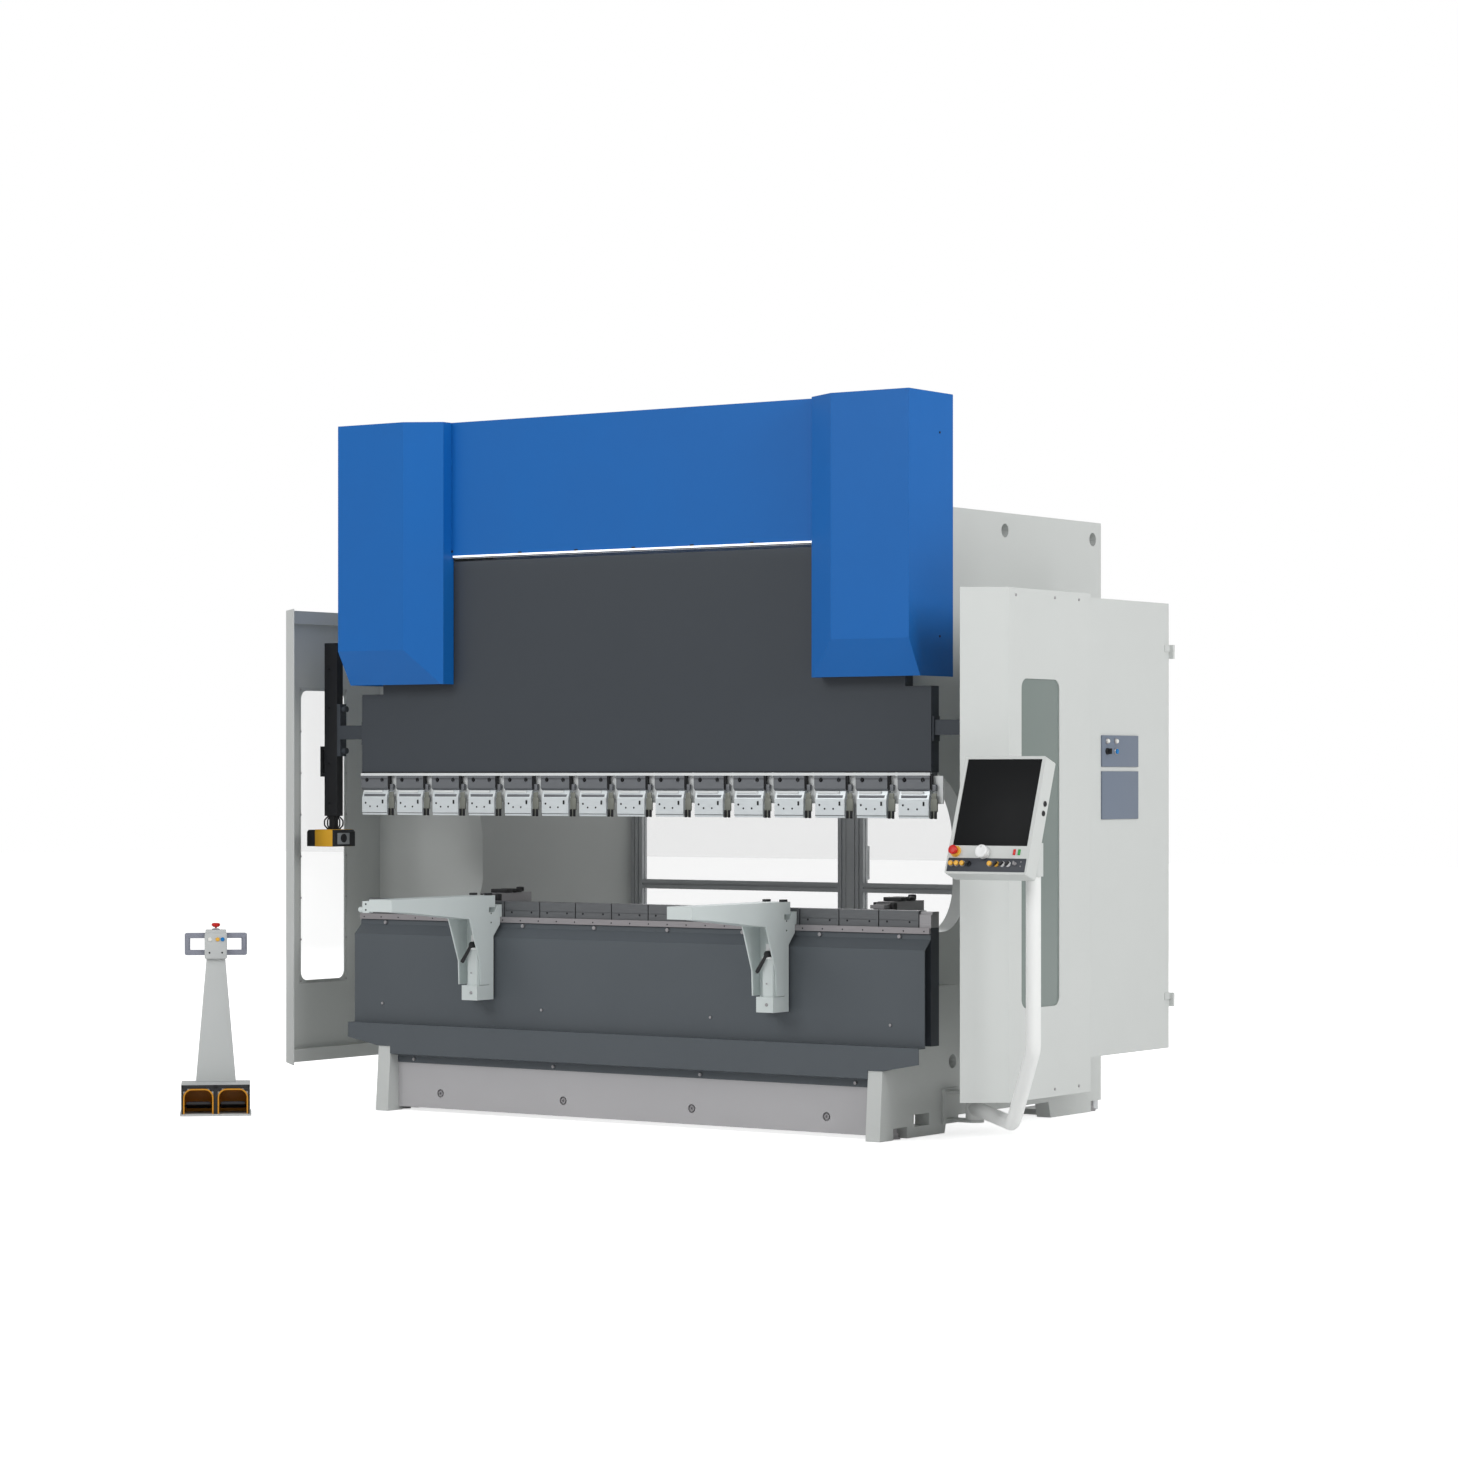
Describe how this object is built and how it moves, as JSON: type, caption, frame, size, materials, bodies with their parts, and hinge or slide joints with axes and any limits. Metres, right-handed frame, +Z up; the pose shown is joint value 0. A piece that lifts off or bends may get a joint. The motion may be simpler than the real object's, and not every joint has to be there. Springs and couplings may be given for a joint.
{
  "type": "press brake",
  "caption": "Hydraulic press brake with C frames, punch clamps, die holders, sheet supports, laser guard carriers, swinging pendant, side guards and a pedal stand.",
  "frame": {"origin": "midway between the four floor anchor holes, at floor level", "axes": "+X along the bending line to the operator's right, -Y towards the operator, +Z up"},
  "size_m": [4.2663, 2.723, 3.092],
  "materials": {
    "painted_blue": "satin powder coat",
    "light_grey": "satin powder coat",
    "white_paint": "satin powder coat",
    "anthracite": "satin powder coat",
    "mint_grey": "satin powder coat",
    "machined_steel": "ground",
    "dark_steel": "blackened and ground",
    "clamp_grey": "nickel plated, satin",
    "black_metal": "black anodised",
    "black_plastic": "fine grain",
    "white_plastic": "smooth",
    "red_plastic": "smooth",
    "yellow_plastic": "smooth",
    "tinted_pane": "tinted polycarbonate",
    "profile_aluminium": "anodised",
    "light_bar": "diffuser"
  },
  "bodies": {
    "frame": {"side_frame_left": "light_grey", "side_frame_right": "light_grey", "foot_plates": "light_grey", "levelling_jacks": "machined_steel", "cross_ties": "light_grey", "upper_beam": "light_grey", "power_pack": "anthracite", "hydraulic_cylinders": "dark_steel", "table": "anthracite", "table_rail": "machined_steel", "die_holders": "dark_steel", "end_blocks": "machined_steel", "apron": "anthracite", "base_beam": "light_grey", "panel_fasteners": "machined_steel", "beam_panel": "painted_blue", "led_strip": "light_bar", "corner_cover_left": "painted_blue", "corner_cover_right": "painted_blue", "guard_left": "light_grey", "guard_right": "light_grey", "guard_windows": "tinted_pane", "cabinet": "light_grey", "fence_frame": "profile_aluminium", "gauge_rails": "machined_steel", "pendant_bracket": "light_grey"},
    "ram": {"ram": "anthracite", "clamp_blocks": "dark_steel", "clamp_jaws": "clamp_grey", "ram_brackets": "anthracite", "piston_rods": "machined_steel"},
    "laser_left": {"laser_left": "black_metal"},
    "laser_right": {"laser_right": "black_metal"},
    "support_carriage_left": {"support_carriage_left": "mint_grey"},
    "support_carriage_right": {"support_carriage_right": "mint_grey"},
    "support_arm_left": {"support_arm_left": "mint_grey"},
    "support_arm_right": {"support_arm_right": "mint_grey"},
    "arm_lever_left": {"arm_lever_left": "black_plastic"},
    "arm_lever_right": {"arm_lever_right": "black_plastic"},
    "gauge_carriage": {"gauge_carriage": "dark_steel"},
    "gauge_lift": {"gauge_lift": "machined_steel"},
    "gauge_finger_left": {"gauge_finger_left": "machined_steel"},
    "gauge_finger_right": {"gauge_finger_right": "machined_steel"},
    "pendant_arm": {"pendant_arm": "white_paint"},
    "console": {"console": "light_grey"},
    "console_estop": {"console_estop": "red_plastic"},
    "jog_wheel": {"jog_wheel": "white_plastic"},
    "console_button_1": {"console_button_1": "yellow_plastic"},
    "console_button_2": {"console_button_2": "yellow_plastic"},
    "console_button_3": {"console_button_3": "yellow_plastic"},
    "console_button_4": {"console_button_4": "yellow_plastic"},
    "cabinet_door": {"cabinet_door": "light_grey"},
    "cabinet_switch": {"cabinet_switch": "black_plastic"},
    "fence_door_left": {"fence_door_left": "profile_aluminium"},
    "fence_door_right": {"fence_door_right": "profile_aluminium"},
    "pedal_stand": {"stand_base": "light_grey", "stand_column": "light_grey"},
    "stand_estop": {"stand_estop": "red_plastic"},
    "stand_pedal_left": {"stand_pedal_left": "black_plastic"},
    "stand_pedal_right": {"stand_pedal_right": "black_plastic"}
  },
  "joints": [
    {"name": "ram_stroke", "type": "slide", "parent": "frame", "child": "ram", "axis": [0, 0, 1], "range_m": [-0.27, 0]},
    {"name": "laser_height_left", "type": "slide", "parent": "ram", "child": "laser_left", "axis": [0, 0, 1], "range_m": [-0.15, 0.15]},
    {"name": "support_travel_left", "type": "slide", "parent": "frame", "child": "support_carriage_left", "axis": [1, 0, 0], "range_m": [-0.55, 0.55]},
    {"name": "support_height_left", "type": "slide", "parent": "support_carriage_left", "child": "support_arm_left", "axis": [0, 0, 1], "range_m": [0, 0.05]},
    {"name": "support_clamp_left", "type": "hinge", "parent": "support_carriage_left", "child": "arm_lever_left", "pos_m": [-0.749, -1.034, 0.762], "axis": [0, 1, 0], "range_deg": [-25, 25]},
    {"name": "laser_height_right", "type": "slide", "parent": "ram", "child": "laser_right", "axis": [0, 0, 1], "range_m": [-0.15, 0.15]},
    {"name": "support_travel_right", "type": "slide", "parent": "frame", "child": "support_carriage_right", "axis": [1, 0, 0], "range_m": [-0.55, 0.55]},
    {"name": "support_height_right", "type": "slide", "parent": "support_carriage_right", "child": "support_arm_right", "axis": [0, 0, 1], "range_m": [0, 0.05]},
    {"name": "support_clamp_right", "type": "hinge", "parent": "support_carriage_right", "child": "arm_lever_right", "pos_m": [0.827, -1.034, 0.762], "axis": [0, 1, 0], "range_deg": [-25, 25]},
    {"name": "gauge_depth", "type": "slide", "parent": "frame", "child": "gauge_carriage", "axis": [0, 1, 0], "range_m": [-0.19, 0.45]},
    {"name": "gauge_height", "type": "slide", "parent": "gauge_carriage", "child": "gauge_lift", "axis": [0, 0, 1], "range_m": [-0.05, 0.08]},
    {"name": "finger_travel_left", "type": "slide", "parent": "gauge_lift", "child": "gauge_finger_left", "axis": [1, 0, 0], "range_m": [-0.09, 0.9]},
    {"name": "finger_travel_right", "type": "slide", "parent": "gauge_lift", "child": "gauge_finger_right", "axis": [1, 0, 0], "range_m": [-0.9, 0.045]},
    {"name": "pendant_swing", "type": "hinge", "parent": "frame", "child": "pendant_arm", "pos_m": [1.475, -0.435, 0.115], "axis": [0, 0, 1], "range_deg": [0, 40]},
    {"name": "console_swivel", "type": "hinge", "parent": "pendant_arm", "child": "console", "pos_m": [2.168, -1.135, 1.2], "axis": [0, 0, 1], "range_deg": [-15, 60]},
    {"name": "console_estop_press", "type": "slide", "parent": "console", "child": "console_estop", "axis": [0, 0.9438, -0.3305], "range_m": [0, 0.006], "stiffness_N_per_m": 1200, "springref_m": -0.003},
    {"name": "jog_wheel_turn", "type": "hinge", "parent": "console", "child": "jog_wheel", "pos_m": [2.05, -1.31791, 1.20505], "axis": [0, -0.9438, 0.3305], "continuous": true},
    {"name": "console_button_1_press", "type": "slide", "parent": "console", "child": "console_button_1", "axis": [0, 0.9438, -0.3305], "range_m": [0, 0.004], "stiffness_N_per_m": 800, "springref_m": -0.002},
    {"name": "console_button_2_press", "type": "slide", "parent": "console", "child": "console_button_2", "axis": [0, 0.9438, -0.3305], "range_m": [0, 0.004], "stiffness_N_per_m": 800, "springref_m": -0.002},
    {"name": "console_button_3_press", "type": "slide", "parent": "console", "child": "console_button_3", "axis": [0, 0.9438, -0.3305], "range_m": [0, 0.004], "stiffness_N_per_m": 800, "springref_m": -0.002},
    {"name": "console_button_4_press", "type": "slide", "parent": "console", "child": "console_button_4", "axis": [0, 0.9438, -0.3305], "range_m": [0, 0.004], "stiffness_N_per_m": 800, "springref_m": -0.002},
    {"name": "cabinet_door_hinge", "type": "hinge", "parent": "frame", "child": "cabinet_door", "pos_m": [1.912, 0.501, 1.2], "axis": [0, 0, 1], "range_deg": [0, 110]},
    {"name": "cabinet_switch_turn", "type": "hinge", "parent": "cabinet_door", "child": "cabinet_switch", "pos_m": [1.912, -0.069, 1.613], "axis": [1, 0, 0], "range_deg": [0, 90]},
    {"name": "fence_door_hinge_right", "type": "hinge", "parent": "frame", "child": "fence_door_right", "pos_m": [1.2565, 0.931, 1], "axis": [0, 0, 1], "range_deg": [-110, 0]},
    {"name": "fence_door_hinge_left", "type": "hinge", "parent": "frame", "child": "fence_door_left", "pos_m": [-1.2565, 0.931, 1], "axis": [0, 0, 1], "range_deg": [0, 110]},
    {"name": "stand_place", "type": "slide", "parent": "frame", "child": "pedal_stand", "axis": [1, 0, 0], "range_m": [-0.5, 0.5]},
    {"name": "stand_estop_press", "type": "slide", "parent": "pedal_stand", "child": "stand_estop", "axis": [0, 0, -1], "range_m": [0, 0.005], "stiffness_N_per_m": 1200, "springref_m": -0.003},
    {"name": "stand_pedal_left_press", "type": "hinge", "parent": "pedal_stand", "child": "stand_pedal_left", "pos_m": [-1.87913, -1.57273, 0.034], "axis": [0.7431, 0.6691, 0], "range_deg": [0, 8], "stiffness_Nm_per_rad": 15, "springref_deg": -5.73},
    {"name": "stand_pedal_right_press", "type": "hinge", "parent": "pedal_stand", "child": "stand_pedal_right", "pos_m": [-1.76617, -1.47102, 0.034], "axis": [0.7431, 0.6691, 0], "range_deg": [0, 8], "stiffness_Nm_per_rad": 15, "springref_deg": -5.73}
  ]
}
